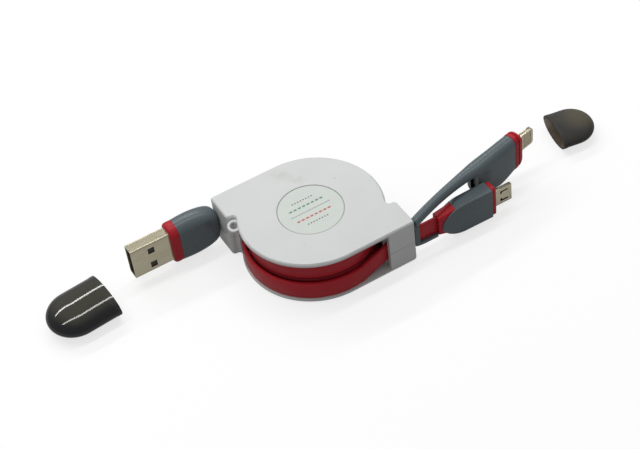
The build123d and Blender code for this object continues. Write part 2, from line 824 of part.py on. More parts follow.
# Caps: thin domed shells, open towards their plugs
def cap_form(length, width, height, edge):
    """An oval bar with a round nose, its flat end at x = 0, its middle on the X axis."""
    side = width / 2
    top = height / 2
    reach = side - edge
    crown = (reach ** 2 + top ** 2 - edge ** 2) / (2 * (top - edge))
    turn = degrees(atan2(crown - top, reach))
    upper = CenterArc((0, top - crown), crown, turn, 90 - turn)
    rim = CenterArc((reach, 0), edge, -turn, 2 * turn)
    lower = CenterArc((0, crown - top), crown, -90, 90 - turn)
    half = make_face([upper, rim, lower, Line((0, -top), (0, top))])
    across = Plane(origin=(0, 0, 0), x_dir=(0, 1, 0), z_dir=(1, 0, 0))
    straight = extrude(across * (half + mirror(half, about=Plane.YZ)), amount=length - side)
    nose = revolve(across * half, axis=Axis.Z, revolution_arc=-180)
    return straight + Pos(length - side, 0, 0) * nose


def make_cap(length, width, height, edge, place):
    """A cap lying on its flat side."""
    outside = cap_form(length, width, height, edge)
    inside = cap_form(length - cap_wall, width - 2 * cap_wall, height - 2 * cap_wall, edge - cap_wall)
    return place * (Pos(0, 0, height / 2) * (outside - inside))


strap_solid = make_strap()
host_cap_place = Pos(-host_tip - host_cap_ahead, exit_y - host_cap_aside, 0) * Rot(0, 0, host_cap_yaw)
blade_end = (adapter_place * Pos(blade_tip_x, 0, 0)).position
tip_cap_place = Pos(blade_end.X + tip_cap_ahead, blade_end.Y + tip_cap_aside, 0) * Rot(0, 0, tip_cap_yaw)
nodes = {
    "top_cover": make_top_cover(),
    "bottom_cover": make_bottom_cover(),
    "label": make_label(),
    "cover_screw": make_cover_screw(),
    "spool": make_spool(),
    "mainspring": make_mainspring(),
    "stop_ball": make_stop_ball(),
    "lower_winding": make_lower_winding(),
    "upper_winding": on_upper_level(make_lower_winding()),
    "lower_lead": make_lower_lead(),
    "upper_lead": on_upper_level(make_lower_lead()),
    "host_strip": make_host_strip(),
    "host_body": make_host_body(),
    "host_collar": make_host_collar(),
    "host_shell": make_host_shell(),
    "host_tongue": make_host_tongue(),
    "host_contacts": make_host_contacts(),
    "strap_collar": make_strap_collar(),
    "phone_strip": make_phone_strip(),
    "phone_relief": make_phone_relief(),
    "phone_body": make_phone_body(),
    "phone_collar": make_phone_collar(),
    "phone_shell": make_phone_shell(),
    "phone_insert": make_phone_insert(),
    "phone_contacts": make_phone_contacts(),
    "adapter_strap": strap_solid,
    "adapter_body": make_adapter_body(strap_solid),
    "adapter_socket": make_adapter_socket(),
    "socket_tongue": make_socket_tongue(),
    "adapter_collar": make_adapter_collar(),
    "blade_tip": make_blade_tip(),
    "blade_contacts": make_blade_contacts(),
    "host_cap": make_cap(host_cap_length, host_cap_width, host_cap_height, host_cap_edge, host_cap_place),
    "tip_cap": make_cap(tip_cap_length, tip_cap_width, tip_cap_height, tip_cap_edge, tip_cap_place),
}

os.makedirs("parts", exist_ok=True)
for name, shape in nodes.items():
    export_step(shape, f"parts/{name}.step")
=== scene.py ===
from math import cos, pi, radians, sin, sqrt

import bpy
from mathutils import Matrix, Vector


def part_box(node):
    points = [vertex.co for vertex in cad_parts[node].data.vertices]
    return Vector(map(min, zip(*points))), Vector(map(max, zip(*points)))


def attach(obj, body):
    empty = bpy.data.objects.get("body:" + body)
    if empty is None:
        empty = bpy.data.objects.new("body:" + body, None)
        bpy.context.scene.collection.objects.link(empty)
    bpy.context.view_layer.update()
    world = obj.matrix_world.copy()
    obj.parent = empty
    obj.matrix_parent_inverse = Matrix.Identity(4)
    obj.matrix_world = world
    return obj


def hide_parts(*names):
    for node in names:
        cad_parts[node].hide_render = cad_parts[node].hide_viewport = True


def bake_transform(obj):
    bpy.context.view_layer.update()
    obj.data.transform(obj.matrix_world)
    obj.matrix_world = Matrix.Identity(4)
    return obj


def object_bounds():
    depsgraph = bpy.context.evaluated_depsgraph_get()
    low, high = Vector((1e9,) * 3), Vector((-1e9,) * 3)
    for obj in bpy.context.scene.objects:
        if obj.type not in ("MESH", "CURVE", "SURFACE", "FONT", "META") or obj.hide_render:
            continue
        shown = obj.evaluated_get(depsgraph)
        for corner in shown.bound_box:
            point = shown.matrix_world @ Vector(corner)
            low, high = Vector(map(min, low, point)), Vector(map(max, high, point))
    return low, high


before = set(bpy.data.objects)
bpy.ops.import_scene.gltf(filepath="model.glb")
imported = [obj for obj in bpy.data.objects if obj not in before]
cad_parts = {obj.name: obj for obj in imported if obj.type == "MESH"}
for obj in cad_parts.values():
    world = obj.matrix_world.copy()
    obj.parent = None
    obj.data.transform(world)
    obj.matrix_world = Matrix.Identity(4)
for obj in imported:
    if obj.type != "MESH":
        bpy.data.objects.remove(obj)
cad_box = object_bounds()
bpy.context.scene.view_settings.view_transform = "Standard"


# Bottom cover: the lower half of the reel's housing, injection moulded in white plastic in one
# piece with the axle post and the lower walls of both horns. It carries everything else.
MM = 0.001
GRAIN_DEPTH = 0.2 * MM
WHITE = (0.722, 0.738, 0.730, 1.0)
WHITE_DULL = (0.697, 0.710, 0.700, 1.0)


class Wire:
    """A socket of a material's node tree; arithmetic on wires adds Math nodes."""

    def __init__(self, tree, socket):
        self.tree = tree
        self.socket = socket

    def node(self, kind, settings, values, out=0):
        """Adds a node, sets it up, links or sets its inputs, and returns one of its outputs."""
        made = self.tree.nodes.new(kind)
        for name, setting in settings.items():
            setattr(made, name, setting)
        for name, value in values.items():
            if isinstance(value, Wire):
                self.tree.links.new(value.socket, made.inputs[name])
            else:
                made.inputs[name].default_value = value
        return Wire(self.tree, made.outputs[out])

    def maths(self, operation, first, second=0.0):
        return self.node("ShaderNodeMath", {"operation": operation}, {0: first, 1: second})

    def __add__(self, other):
        return self.maths("ADD", self, other)

    __radd__ = __add__

    def __sub__(self, other):
        return self.maths("SUBTRACT", self, other)

    def __rsub__(self, other):
        return self.maths("SUBTRACT", other, self)

    def __mul__(self, other):
        return self.maths("MULTIPLY", self, other)

    __rmul__ = __mul__

    def absolute(self):
        """This value without its sign."""
        return self.maths("ABSOLUTE", self)

    def below(self, limit):
        """1 where this value is under a limit, 0 elsewhere."""
        return self.maths("LESS_THAN", self, limit)

    def part(self, axis):
        """One coordinate of this vector."""
        return self.node("ShaderNodeSeparateXYZ", {}, {0: self}, out=axis)

    def stretched(self, x, y, z):
        """This vector with each coordinate scaled, for a pattern that runs along one of them."""
        return self.node("ShaderNodeVectorMath", {"operation": "MULTIPLY"}, {0: self, 1: (x, y, z)})

    def noise(self, scale, detail=3.0):
        """A cloudy pattern on this vector, with about scale clouds to the metre."""
        return self.node("ShaderNodeTexNoise", {}, {"Vector": self, "Scale": scale, "Detail": detail})

    def fade(self, low, high):
        """0 where this value is at low, 1 where it is at high, smooth between."""
        return self.node("ShaderNodeMapRange", {"interpolation_type": "SMOOTHSTEP"},
                         {"Value": self, "From Min": low, "From Max": high})

    def mix(self, first, second):
        """The first colour where this value is 0, the second where it is 1."""
        return self.node("ShaderNodeMix", {"data_type": "RGBA"}, {0: self, 6: first, 7: second}, out=2)

    def bump(self, strength, distance):
        """This value as a height on the surface."""
        return self.node("ShaderNodeBump", {},
                         {"Height": self, "Strength": strength, "Distance": distance})

    def feed(self, name):
        """Links this wire to one of the material's shader sockets."""
        self.tree.links.new(self.socket, self.tree.nodes["Principled BSDF"].inputs[name])


def new_material(name, **constants):
    """A material with its shader's constants set, and the wire of the Object coordinates."""
    material = bpy.data.materials.new(name)
    material.use_nodes = True
    tree = material.node_tree
    for socket, value in constants.items():
        tree.nodes["Principled BSDF"].inputs[socket.replace("_", " ")].default_value = value
    coordinates = tree.nodes.new("ShaderNodeTexCoord")
    return material, Wire(tree, coordinates.outputs["Object"])


def coat(mesh, material):
    """Gives a mesh one finish all over."""
    mesh.materials.clear()
    mesh.materials.append(material)


def paint(material, *names):
    """Gives CAD nodes their finish."""
    for name in names:
        coat(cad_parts[name].data, material)


def moulded_white(name):
    """Satin white plastic with a fine moulded grain; its colour is still to be fed."""
    material, place = new_material(name, IOR=1.5)
    (0.30 + 0.12 * place.noise(160.0)).feed("Roughness")
    place.noise(2600.0).bump(0.06, GRAIN_DEPTH).feed("Normal")
    colour = place.noise(60.0).fade(0.30, 0.80).mix(WHITE, WHITE_DULL)
    return material, place, colour


base_white, place, colour = moulded_white("base_white")
colour.feed("Base Color")
paint(base_white, "bottom_cover")

# Mainspring and stop ball: a flat spiral of spring steel hooked into the axle post and the drum,
# and a loose hardened ball on the housing's floor that drops into the spool's ratchet.
STEEL_DARK = (0.36, 0.36, 0.37, 1.0)
STEEL_PALE = (0.46, 0.46, 0.46, 1.0)
spring_steel, place = new_material("spring_steel", Metallic=1.0)
place.noise(300.0).mix(STEEL_DARK, STEEL_PALE).feed("Base Color")
(0.22 + 0.18 * place.stretched(1.0, 1.0, 12.0).noise(900.0)).feed("Roughness")
paint(spring_steel, "mainspring", "stop_ball")

# Spool: the drum that the cable winds on, moulded in dark red plastic with a divider between the
# two cable levels and a ratchet ring below. It turns freely on the axle post.
SPOOL_RED = (0.280, 0.018, 0.028, 1.0)
SPOOL_RED_DULL = (0.220, 0.014, 0.022, 1.0)


def mottled(name, colour, other, clouds, roughness, patches, grain=None, **constants):
    """A finish between two colours; roughness is its least and its rise, grain a scale and a strength."""
    material, place = new_material(name, **constants)
    place.noise(clouds).mix(colour, other).feed("Base Color")
    (roughness[0] + roughness[1] * place.noise(patches)).feed("Roughness")
    if grain:
        place.noise(grain[0]).bump(grain[1], GRAIN_DEPTH).feed("Normal")
    return material


spool_red = mottled("spool_red", SPOOL_RED, SPOOL_RED_DULL, clouds=200.0, roughness=(0.40, 0.14),
                    patches=400.0, IOR=1.5)
paint(spool_red, "spool")

# Wound cable: one flat red cable whose two halves lie on the two levels of the drum. Its jacket
# is extruded, so its edges are round, and the last turn of each half runs off to its horn.
CABLE_ROUNDING = 0.35 * MM
ROUND_SEGMENTS = 3
MERGE_WITHIN = 0.002 * MM
FLAT_ANGLE = radians(0.5)
SHARP_ANGLE = radians(35)
SMOOTH_ANGLE = radians(40)
RED = (0.540, 0.019, 0.031, 1.0)
RED_DULL = (0.470, 0.016, 0.026, 1.0)


def pick(piece):
    """Makes a piece the only selected one, and the active one."""
    bpy.ops.object.select_all(action="DESELECT")
    piece.select_set(True)
    bpy.context.view_layer.objects.active = piece


def copied(name, node):
    """A copy of a CAD node with its faces joined at their edges, picked for more work."""
    piece = bpy.data.objects.new(name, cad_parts[node].data.copy())
    bpy.context.collection.objects.link(piece)
    pick(piece)
    bpy.ops.mesh.customdata_custom_splitnormals_clear()
    bpy.ops.object.mode_set(mode="EDIT")
    bpy.ops.mesh.select_mode(type="EDGE")
    bpy.ops.mesh.select_all(action="SELECT")
    bpy.ops.mesh.remove_doubles(threshold=MERGE_WITHIN)
    bpy.ops.object.mode_set(mode="OBJECT")
    return piece


def softened(name, node, rounding, is_soft=None):
    """A copy of a CAD node with its sharp edges rounded, to stand in the node's place."""
    piece = copied(name, node)
    bpy.ops.object.mode_set(mode="EDIT")
    bpy.ops.mesh.select_all(action="SELECT")
    bpy.ops.mesh.dissolve_limited(angle_limit=FLAT_ANGLE)
    bpy.ops.mesh.select_all(action="DESELECT")
    bpy.ops.mesh.edges_select_sharp(sharpness=SHARP_ANGLE)
    if is_soft:
        bpy.ops.object.mode_set(mode="OBJECT")
        for edge in piece.data.edges:
            ends = [piece.data.vertices[k].co for k in edge.vertices]
            edge.select = edge.select and is_soft((ends[0] + ends[1]) / 2)
        bpy.ops.object.mode_set(mode="EDIT")
    bpy.ops.mesh.bevel(offset=rounding, segments=ROUND_SEGMENTS, clamp_overlap=True)
    bpy.ops.object.mode_set(mode="OBJECT")
    bpy.ops.object.shade_smooth_by_angle(angle=SMOOTH_ANGLE)
    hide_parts(node)
    return piece


def finish_piece(piece, material, body):
    """Gives a new piece its finish and the body that it moves with."""
    coat(piece.data, material)
    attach(piece, body)


cable_red = mottled("cable_red", RED, RED_DULL, clouds=120.0, roughness=(0.34, 0.16), patches=300.0,
                    grain=(1800.0, 0.06), IOR=1.48, Specular_IOR_Level=0.3)
for level in ("lower", "upper"):
    winding = softened(f"{level}_wound_cable", f"{level}_winding", CABLE_ROUNDING)
    finish_piece(winding, cable_red, "spool_set")
    lead = softened(f"{level}_last_turn", f"{level}_lead", CABLE_ROUNDING)
    finish_piece(lead, cable_red, "housing")

# Top cover: the upper half of the housing, moulded in the same white plastic with the lanyard eye
# and screwed to the axle post. It has a tan smear near its back edge and two specks of dirt.
GRIME = (0.420, 0.410, 0.350, 1.0)
SMEAR_MIDDLE = (1.4 * MM, 16.9 * MM)
SMEAR_HALVES = (9.0 * MM, 2.8 * MM)
SMEAR_TURN = radians(-54)
SMEAR_STRENGTH = 0.42
SPECKS = (((13.6 * MM, 7.4 * MM), 0.45 * MM), ((-9.1 * MM, -12.0 * MM), 0.35 * MM))
SPECK_STRENGTH = 0.40
EDGE_SMALL = 0.45 * MM
EDGE_ROUND = 0.8 * MM
LEANS_LEAST = 0.02
LEANS_MOST = 0.995
PLATE_THICK = 2.0 * MM
RIM_THICK = 1.2 * MM
RIM_REACH = 0.05 * MM
REEL_RADIUS = 24.0 * MM
EYE_ANGLE = radians(158)
EYE_REACH = REEL_RADIUS + 1.0 * MM
EYE_ROOM = 2.15 * MM
EYE_ROOM_LOW = 14.0 * MM
EYE_ROOM_ABOVE = 1.0 * MM


def oval(place, middle, half_length, half_width, turn=0.0):
    """How far out a point lies on an oval seen from above: 0 at its middle, 1 on its rim."""
    any_height = 1000.0
    inside = place.node("ShaderNodeMapping", {"vector_type": "TEXTURE"},
                        {"Vector": place, "Location": (middle[0], middle[1], 0.0),
                         "Rotation": (0.0, 0.0, turn), "Scale": (half_length, half_width, any_height)})
    return place.node("ShaderNodeVectorMath", {"operation": "LENGTH"}, {0: inside}, out="Value")


def cut_away(piece, cutter):
    """Takes the cutter's room out of a piece, and then the cutter away."""
    hollow = piece.modifiers.new("cut", "BOOLEAN")
    hollow.operation = "DIFFERENCE"
    hollow.object = cutter
    bpy.context.view_layer.objects.active = piece
    bpy.ops.object.modifier_apply(modifier=hollow.name)
    bpy.data.objects.remove(cutter)


cover_white, place, colour = moulded_white("cover_white")
smear = oval(place, SMEAR_MIDDLE, *SMEAR_HALVES, SMEAR_TURN).fade(1.0, 0.15)
smear = smear * place.noise(350.0).fade(0.25, 0.70)
colour = (SMEAR_STRENGTH * smear).mix(colour, GRIME)
for speck, radius in SPECKS:
    dirty = oval(place, speck, radius, radius).fade(1.0, 0.3)
    colour = (SPECK_STRENGTH * dirty).mix(colour, GRIME)
colour.feed("Base Color")

upper_cover = copied("upper_cover", "top_cover")
cover_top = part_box("top_cover")[1][2]
room_top = cover_top + EYE_ROOM_ABOVE
room_middle = Vector((0.0, 0.0, (EYE_ROOM_LOW + room_top) / 2))
eye_out = Vector((cos(EYE_ANGLE), sin(EYE_ANGLE), 0.0))
bpy.ops.mesh.primitive_cylinder_add(vertices=64, radius=EYE_ROOM, depth=room_top - EYE_ROOM_LOW,
                                    location=EYE_REACH * eye_out + room_middle)
eye_room = bpy.context.object
bpy.ops.mesh.primitive_cylinder_add(vertices=720, radius=REEL_RADIUS, depth=2 * room_top,
                                    location=room_middle)
cut_away(eye_room, bpy.context.object)
cut_away(upper_cover, eye_room)
leaning = {}
for face in upper_cover.data.polygons:
    if LEANS_LEAST < face.normal.z < LEANS_MOST and face.center.z > cover_top - EDGE_SMALL:
        for k in face.vertices:
            outwards = Vector((face.normal.x, face.normal.y, 0.0)).normalized()
            leaning[k] = leaning.get(k, Vector()) + face.area * outwards
for k, outwards in leaning.items():
    point = upper_cover.data.vertices[k].co
    rise = min(max(1 - (cover_top - point.z) / EDGE_SMALL, 0.0), 1.0)
    point -= (EDGE_ROUND - EDGE_SMALL) * (1 - sqrt(1 - rise ** 2)) * outwards.normalized()
    point.z = cover_top - EDGE_ROUND * (1 - rise)
plate_low = cover_top - PLATE_THICK
for vertex in upper_cover.data.vertices:
    point = vertex.co
    at_rim = max(abs(point.y), Vector((point.x, point.y)).length) > REEL_RADIUS - RIM_REACH
    if at_rim and abs(point.z - plate_low) < RIM_REACH:
        point.z = cover_top - RIM_THICK
pick(upper_cover)
bpy.ops.object.shade_smooth_by_angle(angle=SMOOTH_ANGLE)
flat_faces = upper_cover.modifiers.new("flat_faces", "WEIGHTED_NORMAL")
flat_faces.keep_sharp = True
bpy.ops.object.modifier_apply(modifier=flat_faces.name)
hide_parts("top_cover")
finish_piece(upper_cover, cover_white, "housing")

# Lanyard eye: a slim round loop along the cover's edge, of the same moulding as the top cover, with
# room below it for a cord.
LOOP_ROD = 0.52 * MM
LOOP_ACROSS = 1.7 * MM
LOOP_ALONG = 2.15 * MM
LOOP_HEIGHT = 16.5 * MM
bpy.ops.object.select_all(action="DESELECT")
bpy.ops.mesh.primitive_torus_add(major_segments=48, minor_segments=16, major_radius=LOOP_ACROSS,
                                 minor_radius=LOOP_ROD)
eye_loop = bpy.context.object
eye_loop.name = "eye_loop"
bpy.ops.object.mode_set(mode="EDIT")
bpy.ops.mesh.select_all(action="SELECT")
bpy.ops.transform.resize(value=(1, LOOP_ALONG / LOOP_ACROSS, 1), center_override=(0, 0, 0))
bpy.ops.object.mode_set(mode="OBJECT")
eye_loop.location = EYE_REACH * eye_out + Vector((0.0, 0.0, LOOP_HEIGHT))
eye_loop.rotation_euler = (0, 0, EYE_ANGLE)
bpy.ops.object.transform_apply(location=True, rotation=True, scale=True)
bpy.ops.object.shade_smooth()
finish_piece(eye_loop, base_white, "housing")

# Cover screw: a small zinc plated pan-head screw that holds the top cover on the axle post, out of
# sight below the label.
ZINC_DULL = (0.50, 0.50, 0.51, 1.0)
ZINC = (0.58, 0.58, 0.58, 1.0)
screw_zinc = mottled("screw_zinc", ZINC_DULL, ZINC, clouds=500.0, roughness=(0.26, 0.14),
                     patches=1200.0, Metallic=1.0)
paint(screw_zinc, "cover_screw")

# Label: a round pale sticker in the top cover's recess. It has plain printed rows of dots and dashes
# with a thin line between them, and painted shade darkens a thin ring round its cut edge in the recess.
LABEL_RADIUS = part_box("label")[1][0]
PAPER = (0.720, 0.768, 0.722, 1.0)
PAPER_DULL = (0.686, 0.734, 0.686, 1.0)
EDGE_SHADE = (0.200, 0.215, 0.200, 1.0)
EDGE_SHADE_STRENGTH = 0.80
BLACK_INK = (0.060, 0.062, 0.060, 1.0)
GREEN_INK = (0.050, 0.260, 0.130, 1.0)
RED_INK = (0.560, 0.060, 0.045, 1.0)
INK_STRENGTH = 0.85
LABEL_ROWS = ((BLACK_INK, 5.2, 4.0, 0.25, 1.0, 0.5),
              (GREEN_INK, 2.6, 6.4, 0.35, 1.6, 1.1),
              (BLACK_INK, 0.0, 7.2, 0.10, 15.0, 15.0),
              (RED_INK, -2.6, 6.4, 0.35, 1.6, 1.1),
              (BLACK_INK, -5.2, 4.0, 0.25, 1.0, 0.5))


def printed_row(place, height, half_length, half_height, step, dash):
    """1 on a row of dashes along X, 0 elsewhere; sizes in millimetres."""
    along = place.part("X")
    aside = place.part("Y") - height * MM
    in_row = along.absolute().below(half_length * MM) * aside.absolute().below(half_height * MM)
    return in_row * along.maths("MODULO", along + half_length * MM, step * MM).below(dash * MM)


label_paper, place = new_material("label_paper", IOR=1.45)
colour = place.noise(200.0).mix(PAPER, PAPER_DULL)
for ink, *sizes in LABEL_ROWS:
    colour = (INK_STRENGTH * printed_row(place, *sizes)).mix(colour, ink)
# Painted shade: a dark ring round the label's cut edge, where the recess lies in shadow.
edge_shade = oval(place, (0.0, 0.0), LABEL_RADIUS, LABEL_RADIUS).fade(0.965, 0.995)
(EDGE_SHADE_STRENGTH * edge_shade).mix(colour, EDGE_SHADE).feed("Base Color")
(0.34 + 0.14 * place.noise(400.0)).feed("Roughness")
paint(label_paper, "label")

# Host cable end: the flat cable where it leaves the left horn, hidden in the horn and the plug.
# It pulls out of the reel with the plug, so it stretches here between the two.
STRETCH_INSIDE = 0.5 * MM
STRETCH_OUTSIDE = 0.2 * MM


def cut_across(piece, points, along):
    """Cuts a piece across at points along a direction, so that it can stretch or bend there."""
    pick(piece)
    bpy.ops.object.mode_set(mode="EDIT")
    for point in points:
        bpy.ops.mesh.select_all(action="SELECT")
        bpy.ops.mesh.bisect(plane_co=point, plane_no=along)
    bpy.ops.object.mode_set(mode="OBJECT")


def cable_end(name, node, inside, outside):
    """The cable's end at one horn, cut across inside the horn, midway, and outside it."""
    piece = softened(name, node, CABLE_ROUNDING)
    middle = (inside + outside) / 2
    cut_across(piece, (inside, middle, outside), (1, 0, 0))
    coat(piece.data, cable_red)
    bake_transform(piece)


low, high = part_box("host_strip")
horn_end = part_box("bottom_cover")[1][0]
cable_height = (low[2] + high[2]) / 2
cable_end("host_cable_end", "host_strip",
          Vector((high[0] - STRETCH_INSIDE, low[1], cable_height)),
          Vector((-horn_end - STRETCH_OUTSIDE, low[1], cable_height)))

# Host plug: a barrel of soft grey plastic moulded over the cable and the back of a folded nickel
# plated shell, with a red collar pushed on between them, a plastic tongue and four contacts. The
# shell's upper edges are scuffed, and the dark tongue turns pale towards its end.
CORNER_SEGMENTS = 8
POCKET_CLEARANCE = 0.06 * MM
GREY = (0.132, 0.164, 0.178, 1.0)
GREY_DULL = (0.114, 0.143, 0.157, 1.0)
BARREL_CORNER = 3.3
BARREL_SECTIONS = ((14.5, 7.70, 7.8), (12.0, 7.95, 7.9), (10.0, 8.0, 8.0), (8.0, 7.95, 8.0),
                   (6.0, 7.70, 8.0), (4.0, 7.30, 7.8), (2.4, 6.80, 7.4), (1.4, 6.30, 6.9),
                   (0.7, 5.80, 6.2), (0.25, 5.2, 5.4), (0.0, 4.6, 4.6))
COLLAR_RED = (0.540, 0.018, 0.030, 1.0)
COLLAR_RED_DULL = (0.470, 0.015, 0.025, 1.0)
HOST_RING_SECTIONS = ((0.0, 7.60, 7.6), (0.3, 7.70, 7.8), (1.5, 7.75, 7.9), (2.4, 7.65, 7.7),
                      (2.8, 7.35, 7.3), (3.0, 6.95, 6.7))
NICKEL_DULL = (0.530, 0.485, 0.350, 1.0)
NICKEL = (0.590, 0.545, 0.410, 1.0)
SHELL_LEAN = 0.09 * MM
SCUFF_ASIDE = 0.55 * MM
SCUFF_DOWN = 0.6 * MM
SCUFF_FADE = 0.2 * MM
SCUFF_STRENGTH = 0.18
TONGUE_DARK = (0.026, 0.025, 0.023, 1.0)
TONGUE_DARKER = (0.020, 0.019, 0.018, 1.0)
TONGUE_END_PALE = (0.420, 0.425, 0.390, 1.0)
TONGUE_PALE_REACH = 1.2 * MM
GOLD_DULL = (0.62, 0.42, 0.14, 1.0)
GOLD = (0.70, 0.50, 0.20, 1.0)


def lofted(name, corner, sections, location, turn=0.0):
    """A moulded form along X through rounded sections, each (x, low, high, width) in millimetres."""
    bpy.ops.object.select_all(action="DESELECT")
    bpy.ops.mesh.primitive_plane_add(size=MM, rotation=(0, pi / 2, 0))
    piece = bpy.context.object
    piece.name = name
    bpy.ops.object.transform_apply(location=False, rotation=True, scale=False)
    bpy.ops.object.mode_set(mode="EDIT")
    bpy.ops.mesh.select_all(action="SELECT")
    x, low, high, width = sections[0]
    bpy.ops.transform.resize(value=(1, width, high - low), center_override=(0, 0, 0))
    if corner:
        bpy.ops.mesh.bevel(offset=corner * MM, segments=CORNER_SEGMENTS, affect="VERTICES")
    bpy.ops.transform.translate(value=(x * MM, 0, (low + high) / 2 * MM))
    for next_x, next_low, next_high, next_width in sections[1:]:
        rise = (next_low + next_high - low - high) / 2
        step = (next_x - x, 0, rise)
        bpy.ops.mesh.extrude_region_move(TRANSFORM_OT_translate={"value": Vector(step) * MM})
        bpy.ops.transform.resize(value=(1, next_width / width, (next_high - next_low) / (high - low)),
                                 center_override=(next_x * MM, 0, (next_low + next_high) / 2 * MM))
        x, low, high, width = next_x, next_low, next_high, next_width
    bpy.ops.mesh.select_all(action="SELECT")
    bpy.ops.mesh.normals_make_consistent(inside=False)
    bpy.ops.object.mode_set(mode="OBJECT")
    piece.location = location
    piece.rotation_euler = (0, 0, turn)
    bpy.ops.object.transform_apply(location=True, rotation=True, scale=True)
    bpy.ops.object.shade_smooth_by_angle(angle=SMOOTH_ANGLE)
    return piece


def cut_pocket(piece, node, turn=0.0):
    """Hollows a moulded piece round a CAD node that it is moulded over."""
    straighten = Matrix.Rotation(-turn, 3, "Z")
    points = [straighten @ vertex.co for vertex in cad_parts[node].data.vertices]
    low = Vector([min(point[k] for point in points) for k in range(3)])
    high = Vector([max(point[k] for point in points) for k in range(3)])
    bpy.ops.object.select_all(action="DESELECT")
    bpy.ops.mesh.primitive_cube_add(size=1.0, location=Matrix.Rotation(turn, 3, "Z") @ ((low + high) / 2),
                                    rotation=(0, 0, turn))
    cutter = bpy.context.object
    cutter.scale = high - low + Vector((1, 1, 1)) * POCKET_CLEARANCE
    bpy.ops.object.transform_apply(location=True, rotation=True, scale=True)
    cut_away(piece, cutter)


def round_the_shell(name, node, sections):
    """A form of the host plug with the shell's room in it, in place of a CAD node. Its sections are
    (distance from the node's inner end, half the height, width) in millimetres."""
    low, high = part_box(node)
    through = [(high[0] / MM - x, barrel_middle - half, barrel_middle + half, width)
               for x, half, width in sections]
    piece = lofted(name, BARREL_CORNER, through, (0, (low[1] + high[1]) / 2, 0))
    cut_pocket(piece, "host_shell")
    return piece


soft_grey = mottled("soft_grey", GREY, GREY_DULL, clouds=150.0, roughness=(0.22, 0.12), patches=350.0,
                    grain=(2200.0, 0.02), IOR=1.46, Specular_IOR_Level=0.35)
low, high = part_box("host_body")
barrel_middle = ((low[2] + high[2]) / 2) / MM
barrel = round_the_shell("host_grip", "host_body", BARREL_SECTIONS)
cut_pocket(barrel, "host_strip")
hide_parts("host_body")
finish_piece(barrel, soft_grey, "host_end")

collar_red = mottled("collar_red", COLLAR_RED, COLLAR_RED_DULL, clouds=180.0, roughness=(0.36, 0.16),
                     patches=300.0, grain=(2000.0, 0.06), IOR=1.48, Specular_IOR_Level=0.3)
host_ring = round_the_shell("host_ring", "host_collar", HOST_RING_SECTIONS)
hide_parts("host_collar")
finish_piece(host_ring, collar_red, "host_end")

shell_nickel, place = new_material("shell_nickel", Metallic=1.0)
streaks = place.stretched(1.0, 6.0, 6.0).noise(120.0)
streaks.fade(0.3, 0.7).mix(NICKEL_DULL, NICKEL).feed("Base Color")
low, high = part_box("host_shell")
scuff_side = (high[1] - low[1]) / 2 - SCUFF_ASIDE
scuff_low = high[2] - SCUFF_DOWN
aside = place.part("Y") - (low[1] + high[1]) / 2
scuffed = aside.absolute().fade(scuff_side - SCUFF_FADE, scuff_side)
scuffed = scuffed * place.part("Z").fade(scuff_low - SCUFF_FADE, scuff_low) * place.part("X").below(0.0)
(0.21 + 0.05 * streaks + SCUFF_STRENGTH * scuffed).feed("Roughness")
(place.part("Y") * (1 / MM)).bump(1.0, SHELL_LEAN).feed("Normal")
paint(shell_nickel, "host_shell")

tongue_grey, place = new_material("tongue_grey", IOR=1.5)
tongue_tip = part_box("host_tongue")[0][0]
# The tongue is dark, turning pale over the last stretch towards its end.
pale_end = place.part("X").fade(tongue_tip + TONGUE_PALE_REACH, tongue_tip)
colour = place.noise(200.0).mix(TONGUE_DARK, TONGUE_DARKER)
pale_end.mix(colour, TONGUE_END_PALE).feed("Base Color")
(0.36 + 0.14 * place.noise(400.0)).feed("Roughness")
paint(tongue_grey, "host_tongue")

contact_gold = mottled("contact_gold", GOLD_DULL, GOLD, clouds=500.0, roughness=(0.22, 0.12),
                       patches=900.0, Metallic=1.0)
paint(contact_gold, "host_contacts")

# Phone cable end: the flat cable where it leaves the right horn, in view between the strap's grey
# collar and the strain relief. It pulls out of the reel with the phone plug.
low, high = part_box("phone_strip")
cable_end("phone_cable_end", "phone_strip",
          Vector((low[0] + STRETCH_INSIDE, low[1], cable_height)),
          Vector((horn_end + STRETCH_OUTSIDE, low[1], cable_height)))

# Strap collar: a small grey frame moulded round the cable at the horn, with a lip below the cable.
# The strap starts from it, so the adapter can't get lost.
FRAME_ROUNDING = 0.25 * MM
strap_frame = softened("strap_frame", "strap_collar", FRAME_ROUNDING)
finish_piece(strap_frame, soft_grey, "phone_end")

# Phone plug: two grey cheeks moulded over a red tapered strain relief, a thin red collar, and a
# small folded shell with latch slots, a black insert and five contacts.
RELIEF_ROUNDING = 0.3 * MM
CHEEK_ROUNDING = 0.35 * MM
COLLAR_ROUNDING = 0.25 * MM
SHELL_ROUNDING = 0.10 * MM
ENDWAYS = 0.5
SHADED_NICKEL = (0.020, 0.020, 0.019, 1.0)
SHADED_NICKEL_PALE = (0.034, 0.033, 0.030, 1.0)
BLACK = (0.014, 0.013, 0.014, 1.0)
BLACK_PALE = (0.026, 0.024, 0.025, 1.0)
relief = softened("strain_relief", "phone_relief", RELIEF_ROUNDING)
finish_piece(relief, collar_red, "phone_end")
cheeks = softened("phone_grip", "phone_body", CHEEK_ROUNDING)
finish_piece(cheeks, soft_grey, "phone_end")
phone_ring = softened("phone_ring", "phone_collar", COLLAR_ROUNDING)
finish_piece(phone_ring, collar_red, "phone_end")

small_shell = softened("small_shell", "phone_shell", SHELL_ROUNDING)
finish_piece(small_shell, shell_nickel, "phone_end")
